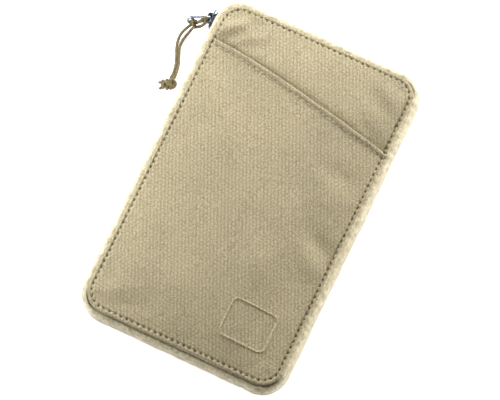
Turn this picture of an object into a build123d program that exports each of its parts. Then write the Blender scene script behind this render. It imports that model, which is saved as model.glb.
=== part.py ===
"""Zip-around travel document wallet: two padded covers on a fabric spine, closed by one coil zip.

Frame: origin at the centre of the back cover's resting face, +X from the spine towards the
opening side, +Y towards the end where the closed slider is parked, +Z towards the front cover.
All sizes are in millimetres. Each sub-part is written to parts/NODE.step.
"""
from build123d import *
import os
from math import atan2, degrees, tan, radians

os.makedirs("parts", exist_ok=True)

# ---- driving dimensions -------------------------------------------------------------------
WIDTH = 138.0              # across the two side walls
LENGTH = 220.0             # between the two end walls
THICK = 20.0               # from the resting face to the slip pocket's face
CORNER_R = 17.7            # corner radius of the walls, seen from above
LIP_INSET = 3.7            # how far the covers' edges sit inside the bulging wall

COVER_SKIN = 1.6           # outer fabric with its edge folded under
LAYER = 0.8                # one layer of outer fabric
FOAM_T = 2.2
LINING_T = 0.6
SEAM_W = 5.3               # width of tape sewn under a cover's edge
BIND_T = 2.2               # folded binding over the inner seam

TAPE_T = 0.8               # woven zip tape
BULGE_R = 3.6              # how softly the tape rolls out from under the covers
PARTING = 0.8              # gap between the two tapes, where the slider's post runs
COIL_T = 1.3
COIL_W = 1.4

SPINE_LOW, SPINE_HIGH = -75.0, 79.0      # ends of the spine fabric along Y
ZIP_END = 99.8             # where the spine's short zip end meets the covers' tapes
FIT_GAP = 0.4              # between cut ends of different bodies

SLEEVE_GAP = 0.5           # slack inside a flat pocket
CARD_STEP = 15.0
CARD_SLOTS = 3

SLIDER_Y = 92.4            # middle of the parked slider
SLIDER_HALF = 6.2
SLIDER_TRAVEL = 4.4        # from where it is parked to the stop
PULLER_LEN = 13.6
PULLER_TURN = 206.2        # heading of the puller in plan, degrees from +X
PULLER_T = 1.4
CORD_D = 1.65

# ---- places worked out from them ------------------------------------------------------------
HALF_W, HALF_L, MID_Z = WIDTH / 2, LENGTH / 2, THICK / 2
LIP_X = HALF_W - LIP_INSET
SEAM_IN = LIP_INSET + SEAM_W             # inset where the sewn tape ends
LINING_Z = COVER_SKIN + FOAM_T
INNER_Z = LINING_Z + LINING_T            # inner face of the back cover
TAPE_LOW, TAPE_HIGH = COVER_SKIN, THICK - COVER_SKIN
PIVOT = Vector(-HALF_W - 2.8, SLIDER_Y - 0.2, MID_Z)     # on the axis that the puller swings about


# ---- shared shapes ------------------------------------------------------------------------
def slab(x0, x1, y0, y1, z0, z1):
    """Box between two corners."""
    centre = Pos((x0 + x1) / 2, (y0 + y1) / 2, (z0 + z1) / 2)
    return centre * Box(x1 - x0, y1 - y0, z1 - z0)


def plate(inset, z0, z1):
    """Flat plate with the wallet's outline, pulled in by inset."""
    outline = RectangleRounded(WIDTH - 2 * inset, LENGTH - 2 * inset, max(CORNER_R - inset, 2.0))
    return Pos(0, 0, z0) * extrude(outline, z1 - z0)


def ring(outer_inset, inner_inset, z0, z1):
    """Flat band that follows the outline."""
    return plate(outer_inset, z0, z1) - plate(inner_inset, z0 - 1, z1 + 1)


def to_front(solid):
    """The same piece on the front cover."""
    return mirror(solid, about=Plane.XY.offset(MID_Z))


def sleeve(x0, x1, y0, y1, base, gap=SLEEVE_GAP):
    """Flat pocket sewn down on three sides and open towards +Y, standing on z = base."""
    sheet = slab(x0, x1, y0, y1, base, base + gap + LINING_T)
    hollow = slab(x0 + 2, x1 - 2, y0 + 2, y1 + 1, base - 1, base + gap)
    return sheet - hollow


# ---- covers -------------------------------------------------------------------------------
def cover_foam():
    return plate(SEAM_IN + 0.1, COVER_SKIN, LINING_Z)


def cover_lining():
    return plate(SEAM_IN + 0.1, LINING_Z, INNER_Z)


def edge_binding():
    low = COVER_SKIN + TAPE_T
    return ring(LIP_INSET + 0.8, SEAM_IN, low, low + BIND_T)


def slip_pocket_outline():
    """Straight slanted mouth, from high beside the spine to low beside the opening side."""
    mouth_left, mouth_right = 78.5, 56.5
    return Polygon(
        (-HALF_W, -HALF_L), (HALF_W, -HALF_L), (HALF_W, mouth_right), (-HALF_W, mouth_left), align=None
    )


def slip_pocket():
    """Outer pocket layer, sewn round its lower edges and open along the slanted mouth."""
    below_mouth = Pos(0, 0, THICK - LAYER) * extrude(slip_pocket_outline(), LAYER)
    layer = plate(LIP_INSET, THICK - LAYER, THICK) & below_mouth
    slack = plate(LIP_INSET + 3.5, THICK - LAYER - 1, THICK - LAYER + 0.3)
    return layer - slack


def slip_pocket_hem():
    """Folded edge along the slanted mouth."""
    hem_w, hem_t = 3.4, 0.5
    left, right = Vector(-LIP_X + 0.6, 78.1), Vector(LIP_X - 0.6, 56.9)
    run = right - left
    strip = Pos((left + right) * 0.5) * Rot(0, 0, degrees(atan2(run.Y, run.X))) * Box(
        run.length - 1.2, hem_w, hem_t
    )
    return Pos(0, -hem_w / 2 - 0.2, THICK + hem_t / 2) * strip


# ---- zip ----------------------------------------------------------------------------------
def spine_side():
    """The stretch of the left wall that the spine body fills."""
    return slab(-HALF_W - 9, -HALF_W + 14, SPINE_LOW - FIT_GAP, ZIP_END + FIT_GAP, -1, THICK + 1)


def zip_tape():
    """Half of the zip tape: sewn flat under the cover, then rolled out and up to the coil."""
    inside_low = TAPE_LOW + TAPE_T
    outer = plate(0, TAPE_LOW, TAPE_HIGH)
    outer = fillet(outer.edges().filter_by_position(Axis.Z, TAPE_LOW, TAPE_LOW), BULGE_R)
    inner = plate(TAPE_T, inside_low, TAPE_HIGH + 1)
    inner_edges = inner.edges().filter_by_position(Axis.Z, inside_low, inside_low)
    inner = fillet(inner_edges, BULGE_R - TAPE_T)
    window = plate(SEAM_IN, TAPE_LOW - 1, TAPE_HIGH)
    above = slab(-HALF_W - 1, HALF_W + 1, -HALF_L - 1, HALF_L + 1, MID_Z - PARTING / 2, THICK)
    return outer - inner - window - above - spine_side()


def zip_coil():
    """Half of the coil, sewn inside the tape's free edge."""
    top = MID_Z - PARTING / 2
    return ring(TAPE_T, TAPE_T + COIL_T, top - COIL_W, top) - spine_side()


def zip_end_tape():
    """The last stretch of both tapes beside the spine, which folds with the spine."""
    low = slab(-HALF_W, -HALF_W + TAPE_T, SPINE_HIGH, ZIP_END, TAPE_LOW + 0.6, MID_Z - PARTING / 2)
    return Compound(children=[low, to_front(low)])


STOP_HIGH = SLIDER_Y - SLIDER_HALF - SLIDER_TRAVEL - 0.3    # the slider's tail stops just short


def zip_end_coil():
    top, inner_x = MID_Z - PARTING / 2, -HALF_W + TAPE_T
    low = slab(inner_x, inner_x + COIL_T, STOP_HIGH, ZIP_END, top - COIL_W, top)
    return Compound(children=[low, to_front(low)])


def zip_stop():
    """Metal clip across the closed end of the coil."""
    inner_x, reach = -HALF_W + TAPE_T, COIL_W + PARTING / 2 + 0.3
    return slab(inner_x, inner_x + COIL_T, STOP_HIGH - 2, STOP_HIGH, MID_Z - reach, MID_Z + reach)


# ---- spine --------------------------------------------------------------------------------
def spine_panel():
    panel = slab(-HALF_W, -HALF_W + 1, SPINE_LOW, SPINE_HIGH, TAPE_LOW + 0.6, TAPE_HIGH - 0.6)
    return fillet(panel.edges().filter_by(Axis.Y), 0.45)


def spine_lining():
    x0 = -HALF_W + 1
    return slab(x0, x0 + LINING_T, SPINE_LOW + 1, SPINE_HIGH - 1, TAPE_LOW + 1.6, TAPE_HIGH - 1.6)


# ---- slider -------------------------------------------------------------------------------
SLOT_OUT = -HALF_W - 0.3                       # inner face of the slider's outer plate
SLOT_IN = -HALF_W + TAPE_T + COIL_T + 0.3      # outer face of its inner plate


def slider_plate(x0, x1):
    """Shield-shaped plate, broad towards the nose where the two tapes part."""
    half = SLIDER_HALF
    outline = Polygon(
        (-half, -2.7), (-1.0, -3.6), (3.0, -4.2), (half - 0.4, -3.3), (half, 0),
        (half - 0.4, 3.3), (3.0, 4.2), (-1.0, 3.6), (-half, 2.7), align=None,
    )
    outline = fillet(outline.vertices(), 0.8)
    side_on = Plane(origin=(x0, SLIDER_Y, MID_Z), x_dir=(0, 1, 0), z_dir=(1, 0, 0))
    return extrude(side_on * outline, x1 - x0)


def slider_body():
    """Two plates joined by the wedge-shaped post that parts the coil."""
    plate_t, rail_t = 1.2, 0.9
    outer = slider_plate(SLOT_OUT - plate_t, SLOT_OUT)
    outer = chamfer(outer.faces().sort_by(Axis.X)[0].edges(), 0.35)
    inner = slider_plate(SLOT_IN, SLOT_IN + plate_t)
    post_y = SLIDER_Y + SLIDER_HALF - 3.0
    post = slab(SLOT_OUT, SLOT_IN, post_y, post_y + 2.2, MID_Z - 0.25, MID_Z + 0.25)
    rail_y0, rail_y1 = SLIDER_Y - SLIDER_HALF + 1, SLIDER_Y + 2.0
    rail = slab(SLOT_IN - 1.2, SLOT_IN, rail_y0, rail_y1, MID_Z + 2.2, MID_Z + 2.2 + rail_t)
    return outer + inner + post + rail + mirror(rail, about=Plane.XY.offset(MID_Z))


def slider_bridge():
    """Raised loop on the outer plate that holds the puller's bar."""
    foot_x = SLOT_OUT - 1.2
    rise, half_span, half_w, wall = 3.8, 3.9, 1.1, 1.2
    side = Plane(origin=(foot_x, PIVOT.Y, MID_Z), x_dir=(0, 1, 0), z_dir=(0, 0, 1))
    arch = Polygon(
        (-half_span, 0), (half_span, 0), (half_span - 1.0, rise), (1.0 - half_span, rise), align=None
    )
    arch = fillet(arch.vertices().sort_by(Axis.Y)[-2:], 1.1)
    window = Polygon(
        (-half_span + wall, -1), (half_span - wall, -1), (half_span - 1.9, rise - wall),
        (1.9 - half_span, rise - wall), align=None,
    )
    return extrude(side * (arch - window), half_w, both=True)


# ---- puller and its cord --------------------------------------------------------------------
def on_puller(solid):
    """Place a solid drawn along +X from the pivot, with Z up, onto the puller's heading."""
    return Pos(PIVOT) * Rot(0, 0, PULLER_TURN) * solid


def upright(outline, thickness):
    """Extrude an outline drawn in (reach, height) to both sides of the vertical plane."""
    return extrude(Plane.XZ * outline, thickness / 2, both=True)


def puller():
    """Drooping wire-like frame with a bar through the slider's bridge."""
    bend = 4.5             # the frame is straight as far as this, to clear the bridge
    outer = Polygon(
        (-0.65, -2.9), (bend, -3.1), (PULLER_LEN - 0.3, -6.0), (PULLER_LEN, -1.4),
        (bend, 2.7), (-0.65, 2.9), align=None,
    )
    outer = fillet(outer.vertices(), 0.6)
    window = Polygon(
        (0.65, -1.7), (bend, -1.9), (PULLER_LEN - 1.6, -4.6), (PULLER_LEN - 1.6, -2.4),
        (bend, 1.5), (0.65, 1.65), align=None,
    )
    window = fillet(window.vertices(), 0.3)
    return on_puller(upright(outer - window, PULLER_T))


def cord_hitch():
    """Outer shape of the cord's wraps round the puller's far bar."""
    wraps = slab(3.6, PULLER_LEN - 0.7, -1.6, 3.1, -6.4, -0.7)
    wraps = fillet(wraps.edges(), 1.4)
    return on_puller(wraps) - puller()


LEFT_ROUTE = [
    (-81.5, 85.0, 5.0), (-84.4, 80.4, 3.5), (-85.6, 75.0, 2.0), (-84.2, 69.0, 1.1),
    (-81.2, 62.8, 0.95), (-78.9, 56.8, 1.0), (-78.5, 50.2, 1.7),
]
RIGHT_ROUTE = [
    (-79.4, 85.3, 4.4), (-80.9, 79.6, 3.0), (-81.8, 74.0, 1.8), (-82.1, 69.9, 1.1),
    (-79.5, 63.7, 0.95), (-77.0, 57.4, 1.0), (-76.6, 50.6, 1.7),
]


def cord_tube(name, route):
    """Round cord along straight runs joined by the largest tangent arcs that fit."""
    points = [Vector(*p) for p in route]
    radii = []
    for before, here, after in zip(points, points[1:], points[2:]):
        arriving, leaving = here - before, after - here
        half_turn = radians(arriving.get_angle(leaving)) / 2
        radii.append(0.45 * min(arriving.length, leaving.length) / tan(half_turn))
    path = FilletPolyline(*points, radius=radii)
    section = Plane(origin=path @ 0, z_dir=path % 0) * Circle(CORD_D / 2)
    tube = sweep(section, path=path)
    share = tube.volume / (section.area * path.length)
    print(name, "radii", [round(r, 1) for r in radii])
    print(name, "length", round(path.length, 1), "volume over section x length", round(share, 4))
    return tube


def cord_knot():
    """Outer shape of the knot that ties the two strands, with its two cut ends."""
    ball = fillet(Box(7.4, 7.0, 5.4).edges(), 2.2)
    ball = Pos(-77.6, 45.6, 2.85) * Rot(0, 0, 22) * ball
    for tip in (Vector(-83.4, 44.9, 1.6), Vector(-82.3, 41.6, 1.6)):
        root = Vector(-78.2, 44.6, 2.4)
        end = Plane(origin=root, z_dir=tip - root) * Cylinder(
            CORD_D / 2, (tip - root).length, align=(Align.CENTER, Align.CENTER, Align.MIN)
        )
        ball = ball + end
    return ball


# ---- every node -----------------------------------------------------------------------------
def parts():
    sleeve_x, foot_y = 57.0, -98.0
    over_sleeve = INNER_Z + SLEEVE_GAP + LINING_T
    nodes = {
        "back_panel": plate(LIP_INSET, 0, COVER_SKIN),
        "back_foam": cover_foam(),
        "back_lining": cover_lining(),
        "back_edge_binding": edge_binding(),
        "back_zip_tape": zip_tape(),
        "back_zip_coil": zip_coil(),
        "ticket_sleeve": sleeve(-sleeve_x, sleeve_x, foot_y, 62, INNER_Z),
        "passport_sleeve": sleeve(-sleeve_x, sleeve_x, foot_y, 12, over_sleeve),
        "front_panel": plate(LIP_INSET, TAPE_HIGH, THICK - LAYER),
        "slip_pocket": slip_pocket(),
        "slip_pocket_hem": slip_pocket_hem(),
        "front_foam": to_front(cover_foam()),
        "front_lining": to_front(cover_lining()),
        "front_edge_binding": to_front(edge_binding()),
        "front_zip_tape": to_front(zip_tape()),
        "front_zip_coil": to_front(zip_coil()),
        "document_sleeve": to_front(sleeve(-sleeve_x, sleeve_x, foot_y, 70, INNER_Z)),
        "spine_panel": spine_panel(),
        "spine_lining": spine_lining(),
        "zip_end_tape": zip_end_tape(),
        "zip_end_coil": zip_end_coil(),
        "zip_stop": zip_stop(),
        "slider_body": slider_body(),
        "slider_bridge": slider_bridge(),
        "puller": puller(),
        "cord_hitch": cord_hitch(),
        "pull_cord_left": cord_tube("pull_cord_left", LEFT_ROUTE),
        "pull_cord_right": cord_tube("pull_cord_right", RIGHT_ROUTE),
        "cord_knot": cord_knot(),
    }
    card_x, card_foot, card_top = 47.0, -20.0, 50.0
    for n in range(CARD_SLOTS):
        base = over_sleeve + n * (LINING_T + 0.1)
        slot = sleeve(-card_x, card_x, card_foot, card_top - n * CARD_STEP, base, gap=0.1)
        nodes[f"card_slot_{n + 1}"] = to_front(slot)
    return nodes


for name, solid in parts().items():
    export_step(solid, f"parts/{name}.step")
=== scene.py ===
"""Looks of the zip-around travel wallet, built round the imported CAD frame. Everything is in metres."""
from math import cos, pi, radians, sin, tau

import bpy
import bmesh
import numpy as np
from mathutils import Matrix, Vector, noise


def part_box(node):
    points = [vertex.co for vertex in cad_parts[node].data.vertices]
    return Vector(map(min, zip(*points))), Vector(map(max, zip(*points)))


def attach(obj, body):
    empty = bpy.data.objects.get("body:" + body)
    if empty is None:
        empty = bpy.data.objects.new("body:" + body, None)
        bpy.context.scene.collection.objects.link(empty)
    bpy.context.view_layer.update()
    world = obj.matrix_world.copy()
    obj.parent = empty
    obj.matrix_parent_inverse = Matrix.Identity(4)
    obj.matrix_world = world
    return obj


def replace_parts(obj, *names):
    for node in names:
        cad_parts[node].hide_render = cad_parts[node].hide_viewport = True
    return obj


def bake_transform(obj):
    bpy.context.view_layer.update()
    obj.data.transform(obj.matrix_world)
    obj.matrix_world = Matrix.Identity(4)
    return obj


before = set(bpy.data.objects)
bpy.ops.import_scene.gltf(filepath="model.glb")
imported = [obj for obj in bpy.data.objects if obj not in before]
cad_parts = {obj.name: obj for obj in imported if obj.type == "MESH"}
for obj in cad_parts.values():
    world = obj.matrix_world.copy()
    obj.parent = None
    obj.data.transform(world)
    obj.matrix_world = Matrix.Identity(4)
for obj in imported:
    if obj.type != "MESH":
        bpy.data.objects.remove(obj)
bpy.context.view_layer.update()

MM = 0.001

# ---- sizes, read from the frame -----------------------------------------------------------------
wall_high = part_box("front_zip_tape")[1]
lip_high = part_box("front_panel")[1]
HALF_W, HALF_L = wall_high.x, wall_high.y                 # outside of the walls
LIP_W, LIP_L = lip_high.x, lip_high.y                     # edge of the two covers
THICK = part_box("slip_pocket")[1].z
MID_Z = THICK / 2
SHELL_Z = lip_high.z                                      # top of the front's lower layer
WALL_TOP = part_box("front_zip_tape")[1].z
SPINE_Y0, SPINE_Y1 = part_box("spine_panel")[0].y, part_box("spine_panel")[1].y
ZIP_END_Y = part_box("zip_end_tape")[1].y
LIP_INSET = HALF_W - LIP_W

CORNER_R = 17.7 * MM                                      # corner of the walls, seen from above
LIP_R = CORNER_R - LIP_INSET
STITCH_IN = 2.7 * MM                                      # stitch line inside the covers' edge
STITCH_PITCH = 3.85 * MM
GRAIN_TURN = radians(24.7)                                # the weave runs at this angle to the wallet
MOUTH_LEFT = (-LIP_W, 78.3 * MM)                          # ends of the slip pocket's slanted mouth
MOUTH_RIGHT = (LIP_W, 56.8 * MM)
BACK_CLEARANCE = 0.7 * MM                                 # keeps the back's puffed seams above the table
BACK_LIP_Z = THICK - BACK_CLEARANCE
MOUTH_RUN = Vector(MOUTH_RIGHT) - Vector(MOUTH_LEFT)
MOUTH_LENGTH, MOUTH_HEADING = MOUTH_RUN.length, MOUTH_RUN.normalized()
MOUTH_DOWN = Vector((MOUTH_HEADING.y, -MOUTH_HEADING.x))
HEM_STITCH_IN = 3.15 * MM                                 # stitch line below the mouth


# ---- camera, lights and floor -------------------------------------------------------------------
def make_camera():
    """Steep three-quarter view from the lower end, far away with a long lens."""
    azimuth, elevation, roll = radians(24.67), radians(76.2), radians(-0.69)
    distance, frame_width = 2.5, 0.3081
    back = Vector((sin(azimuth) * cos(elevation), -cos(azimuth) * cos(elevation), sin(elevation)))
    level = Vector((cos(azimuth), sin(azimuth), 0))
    rise = back.cross(level)
    right = level * cos(roll) - rise * sin(roll)
    up = level * sin(roll) + rise * cos(roll)
    camera = bpy.data.objects.new("camera", bpy.data.cameras.new("camera"))
    camera.data.sensor_width = 36
    camera.data.lens = 36 * distance / frame_width
    camera.data.clip_end = 20
    place = back * distance - right * 0.85 * MM + up * 0.62 * MM
    camera.matrix_world = Matrix.Translation(place) @ Matrix((right, up, back)).transposed().to_4x4()
    bpy.context.scene.collection.objects.link(camera)
    bpy.context.scene.camera = camera


def area_light(name, place, aim, size, watts, colour=(1, 1, 1)):
    lamp = bpy.data.lights.new(name, "AREA")
    lamp.shape, lamp.size, lamp.energy, lamp.color = "DISK", size, watts, colour
    obj = bpy.data.objects.new(name, lamp)
    obj.location = place
    obj.rotation_euler = (Vector(aim) - Vector(place)).to_track_quat("-Z", "Y").to_euler()
    bpy.context.scene.collection.objects.link(obj)


def make_studio():
    area_light("key_light", (-0.34, -0.08, 0.18), (-0.02, -0.04, 0), 0.22, 1.6, (0.97, 0.99, 1.0))
    area_light("back_key_light", (-0.12, 0.42, 0.26), (0.0, 0.05, 0), 0.22, 2.45, (0.97, 0.99, 1.0))
    area_light("top_light", (0.0, 0.3, 1.5), (0, 0, 0), 1.2, 0.55, (1.0, 0.96, 0.88))
    area_light("front_fill_light", (0.1, -1.1, 0.25), (0, 0, 0), 0.8, 0.85, (1.0, 0.96, 0.88))
    area_light("rim_light", (0.85, 0.5, 0.12), (0, 0, 0.01), 0.4, 11.0)
    world = bpy.data.worlds.new("studio")
    world.use_nodes = True
    world.node_tree.nodes["Background"].inputs["Color"].default_value = (1.0, 0.96, 0.87, 1)
    world.node_tree.nodes["Background"].inputs["Strength"].default_value = 0.2
    bpy.context.scene.world = world
    bpy.context.scene.view_settings.view_transform = "Standard"

    half = 3.0
    corners = [(-half, -half, 0), (half, -half, 0), (half, half, 0), (-half, half, 0)]
    floor = mesh_object("floor", corners, [(0, 1, 2, 3)], floor_material())


# ---- mesh helpers -------------------------------------------------------------------------------
def mesh_object(name, points, faces, material):
    mesh = bpy.data.meshes.new(name)
    mesh.from_pydata(np.asarray(points, float).tolist(), [], faces)
    mesh.polygons.foreach_set("use_smooth", [True] * len(mesh.polygons))
    obj = bpy.data.objects.new(name, mesh)
    bpy.context.scene.collection.objects.link(obj)
    obj.data.materials.append(material)
    return obj


def grid_faces(rows, cols, closed_cols, closed_rows=False):
    """Quads between rows x cols points, numbered row by row."""
    row, col = np.arange(rows - (not closed_rows)), np.arange(cols - (not closed_cols))
    row, col = np.meshgrid(row, col, indexing="ij")
    next_row, next_col = (row + 1) % rows, (col + 1) % cols
    corners = [row * cols + col, row * cols + next_col, next_row * cols + next_col, next_row * cols + col]
    return np.stack(corners, -1).reshape(-1, 4).tolist()


def surface(name, x, y, z, material, closed_cols=True, closed_rows=False):
    """Mesh object over a grid of places."""
    points = np.stack([x, y, z], -1).reshape(-1, 3)
    return mesh_object(name, points, grid_faces(*z.shape, closed_cols, closed_rows), material)


def lengths_along(line):
    """Length from a line's start to each of its points."""
    return np.concatenate([[0], np.cumsum(np.linalg.norm(np.diff(line, axis=0), axis=1))])


def clean(obj):
    """Weld doubled points, drop empty faces, and turn every face outwards."""
    bm = bmesh.new()
    bm.from_mesh(obj.data)
    bmesh.ops.remove_doubles(bm, verts=bm.verts, dist=1e-6)
    bmesh.ops.dissolve_degenerate(bm, edges=bm.edges, dist=1e-7)
    bmesh.ops.recalc_face_normals(bm, faces=bm.faces)
    bm.to_mesh(obj.data)
    bm.free()
    return obj


def apply_modifier(obj, kind, **settings):
    modifier = obj.modifiers.new(kind.lower(), kind)
    for key, value in settings.items():
        setattr(modifier, key, value)
    mesh = bpy.data.meshes.new_from_object(obj.evaluated_get(bpy.context.evaluated_depsgraph_get()))
    obj.modifiers.clear()
    obj.data = mesh
    return obj


def thicken(obj, depth):
    """Give a sheet a thickness on its lower side."""
    return apply_modifier(obj, "SOLIDIFY", thickness=depth, offset=-1.0)


def soft_noise(x, y, scale, seed, octaves=2):
    """Smooth noise from about -1 to 1 over arrays of places."""
    flat = np.stack([x.ravel() / scale, y.ravel() / scale], -1)
    values = [noise.fractal((u, v, seed), 1.0, 2.0, octaves) for u, v in flat]
    return np.array(values).reshape(x.shape)


# ---- the outline, its insets and its arc length ---------------------------------------------------
def ring_points(half_w, half_l, radius, per_side=(150, 260), per_corner=34):
    """Points round a rounded rectangle, always as many, clockwise from the lower end of the left side."""
    across, along = per_side
    w, l = half_w - radius, half_l - radius
    share_w, share_l = np.linspace(-1, 1, across, endpoint=False), np.linspace(-1, 1, along, endpoint=False)
    turn = np.linspace(0, pi / 2, per_corner, endpoint=False)
    arc = np.stack([-np.cos(turn), np.sin(turn)], -1) * radius
    quarter = [arc, arc @ [[0, -1], [1, 0]], -arc, arc @ [[0, 1], [-1, 0]]]
    left = np.stack([np.full(along, -half_w), share_l * l], -1)
    top = np.stack([share_w * w, np.full(across, half_l)], -1)
    parts = [left, quarter[0] + (-w, l), top, quarter[1] + (w, l), -left, quarter[2] + (w, -l), -top,
             quarter[3] + (-w, -l)]
    return np.concatenate(parts)


def inset_of(x, y, half_w=LIP_W, half_l=LIP_L, radius=LIP_R):
    """How far inside a rounded rectangle's edge each place lies."""
    qx, qy = np.abs(x) - (half_w - radius), np.abs(y) - (half_l - radius)
    outside = np.hypot(np.maximum(qx, 0), np.maximum(qy, 0))
    return radius - outside - np.minimum(np.maximum(qx, qy), 0)


def arc_of(x, y):
    """Length along the stitch line, clockwise from the middle of the left side, beside each place."""
    radius, w, l = LIP_R - STITCH_IN, LIP_W - LIP_R, LIP_L - LIP_R
    bend = radius * pi / 2
    ax, ay = np.abs(x) - w, np.abs(y) - l
    turned = np.arctan2(np.maximum(ay, 0), np.maximum(ax, 1e-9))
    quarter = np.where(ax > ay, np.clip(np.abs(y), 0, l), l + bend + w - np.clip(np.abs(x), 0, w))
    quarter = np.where((ax > 0) & (ay > 0), l + radius * turned, quarter)
    half_turn = 2 * (l + bend + w)
    return np.where(y >= 0, np.where(x > 0, half_turn - quarter, quarter),
                    np.where(x > 0, half_turn + quarter, 2 * half_turn - quarter))


STITCH_LENGTH = 4 * (LIP_L - LIP_R + LIP_W - LIP_R + (LIP_R - STITCH_IN) * pi / 2)
STITCH_COUNT = round(STITCH_LENGTH / STITCH_PITCH)
REAL_PITCH = STITCH_LENGTH / STITCH_COUNT


def stitch_point(s):
    """(place, heading) at length s along the stitch line."""
    radius, w, l = LIP_R - STITCH_IN, LIP_W - LIP_R, LIP_L - LIP_R
    legs = [l, radius * pi / 2, 2 * w, radius * pi / 2, 2 * l, radius * pi / 2, 2 * w, radius * pi / 2, l]
    place, heading = Vector((-LIP_W + STITCH_IN, 0)), pi / 2
    s = s % STITCH_LENGTH
    for n, leg in enumerate(legs):
        part = min(s, leg)
        if n % 2 == 0:
            place = place + Vector((cos(heading), sin(heading))) * part
        else:
            turned = part / radius
            centre = place + Vector((sin(heading), -cos(heading))) * radius
            heading -= turned
            place = centre + Vector((-sin(heading), cos(heading))) * radius
        s -= part
        if s <= 0:
            break
    return place, heading


# ---- relief of a cover ----------------------------------------------------------------------------
def bell(distance, width):
    return np.exp(-(distance / width) ** 2)


def hole_pattern(s, pitch, width):
    """1 at each needle hole, falling to 0 between two holes."""
    return bell(((s / pitch + 0.5) % 1 - 0.5) * pitch, width)


def cover_relief(x, y, crown, creases):
    """Height above the lip plane: rolled edge, lip, stitched groove with needle holes, padded middle."""
    inset = inset_of(x, y)
    holes = hole_pattern(arc_of(x, y), REAL_PITCH, 0.7 * MM) * (0.9 + 0.5 * soft_noise(x, y, 4.3 * MM, 7.7))
    roll = np.clip(1 - inset / (0.9 * MM), 0, 1)
    height = -0.75 * MM * (1 - np.sqrt(np.clip(1 - roll ** 2, 0, 1)))
    puffs = 1 + 0.5 * soft_noise(x, y, 9 * MM, 5.5)
    height += 0.34 * MM * bell(inset - 1.45 * MM, 0.75 * MM) * (1 - 0.8 * holes) * puffs
    height -= MM * (0.2 + 1.6 * holes) * bell(inset - STITCH_IN, 0.62 * MM)
    height += 0.3 * MM * bell(inset - 4.0 * MM, 0.9 * MM) * (0.6 - 0.6 * holes) * puffs
    inner = np.clip(inset - STITCH_IN, 0, None)
    height += crown * (1 - np.exp(-inner / (6.5 * MM)))
    height += creases * 0.5 * MM * soft_noise(x, y, 26 * MM, 3.1) * np.clip(inner / (8 * MM), 0, 1)
    height += creases * 0.09 * MM * soft_noise(x, y, 7 * MM, 8.7) * np.clip(inner / (4 * MM), 0, 1)
    corner_x, corner_y = np.abs(x) - (LIP_W - 8.6 * MM), np.abs(y) - (LIP_L - 8.6 * MM)
    height -= creases * 0.55 * MM * bell(np.hypot(corner_x, corner_y), 3.6 * MM)
    return height


def beside_line(x, y, start, end):
    """(distance off, distance to the right, strength fading at both ends) of each place by a line."""
    a, b = np.array(start) * MM, np.array(end) * MM
    run = b - a
    share = np.clip(((x - a[0]) * run[0] + (y - a[1]) * run[1]) / (run @ run), 0, 1)
    off = np.hypot(x - a[0] - share * run[0], y - a[1] - share * run[1])
    right = ((x - a[0]) * run[1] - (y - a[1]) * run[0]) / np.linalg.norm(run)
    return off, right, np.sin(pi * np.clip(share * 0.8 + 0.1, 0, 1))


def crease(x, y, start, end, depth, width):
    """A soft valley between two places."""
    off, _, fade = beside_line(x, y, start, end)
    return -depth * MM * fade * bell(off, width * MM)


def fold(x, y, start, end, depth, width):
    """A ridge on the left of the line and a valley on its right."""
    off, right, fade = beside_line(x, y, start, end)
    wave = -1.65 * (right / (width * MM)) * np.exp(-0.5 * (off / (width * MM)) ** 2)
    return depth * MM * fade * wave


def mouth_distance(x, y):
    """How far below the slip pocket's mouth each place lies."""
    dx, dy = x - MOUTH_LEFT[0], y - MOUTH_LEFT[1]
    share = (dx * MOUTH_HEADING.x + dy * MOUTH_HEADING.y) / MOUTH_LENGTH
    return dx * MOUTH_HEADING.y - dy * MOUTH_HEADING.x + mouth_bow(share)


def mouth_bow(share):
    """How far the mouth's edge bulges upwards, by its share of the way from left to right."""
    share = np.clip(share, 0, 1)
    return 2.3 * MM * np.sin(pi * share ** 0.62)


def front_relief(x, y):
    """The pocket cloth, and the layer under it."""
    height = cover_relief(x, y, 1.2 * MM, 1.0)
    height += 3.6 * MM * np.clip(1 - (x / LIP_W) ** 2, 0, 1) * np.clip(1 - np.abs(y / LIP_L) ** 3, 0, 1)
    height += crease(x, y, (-63, 72), (-52, 40), 0.5, 3.5)
    height += crease(x, y, (-48, -99), (-20, -92), 0.35, 4.0)
    height += crease(x, y, (44, -101), (56, -88), 0.5, 3.5)
    height += crease(x, y, (32, 34), (58, 30), 1.3, 6.5)
    height += fold(x, y, (35, -96), (36, 16), 2.0, 12.0)
    height += fold(x, y, (66, -25), (40, -13), 0.85, 6.5)
    height += crease(x, y, (66, -19), (44, -7), 1.0, 5.0)
    height += fold(x, y, (-51, -48), (-50, -98), 0.45, 7.0)
    height += fold(x, y, (-60, -100), (-30, -84), 0.35, 5.0)
    return height


def shell_relief(x, y):
    """The layer that shows above the mouth, sunk along it and dented in the upper left corner."""
    height = front_relief(x, y)
    above = np.clip(-mouth_distance(x, y), 0, None)
    height -= 1.7 * MM * np.exp(-above / (1.8 * MM)) * np.clip(inset_of(x, y) / (12 * MM), 0.3, 1)
    height += fold(x, y, (-63, 80), (-45, 95), 2.0, 3.6)
    height += fold(x, y, (-56, 79), (-34, 90), 1.3, 3.6)
    height += fold(x, y, (-50, 104), (-40, 98), 0.5, 3.0)
    height += fold(x, y, (40, 93), (58, 83), 0.75, 4.0)
    height += crease(x, y, (40, 70), (62, 58), 1.3, 4.5)
    return height


def back_relief(x, y):
    return cover_relief(x, y, 0.25 * MM, 0.35)


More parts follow.
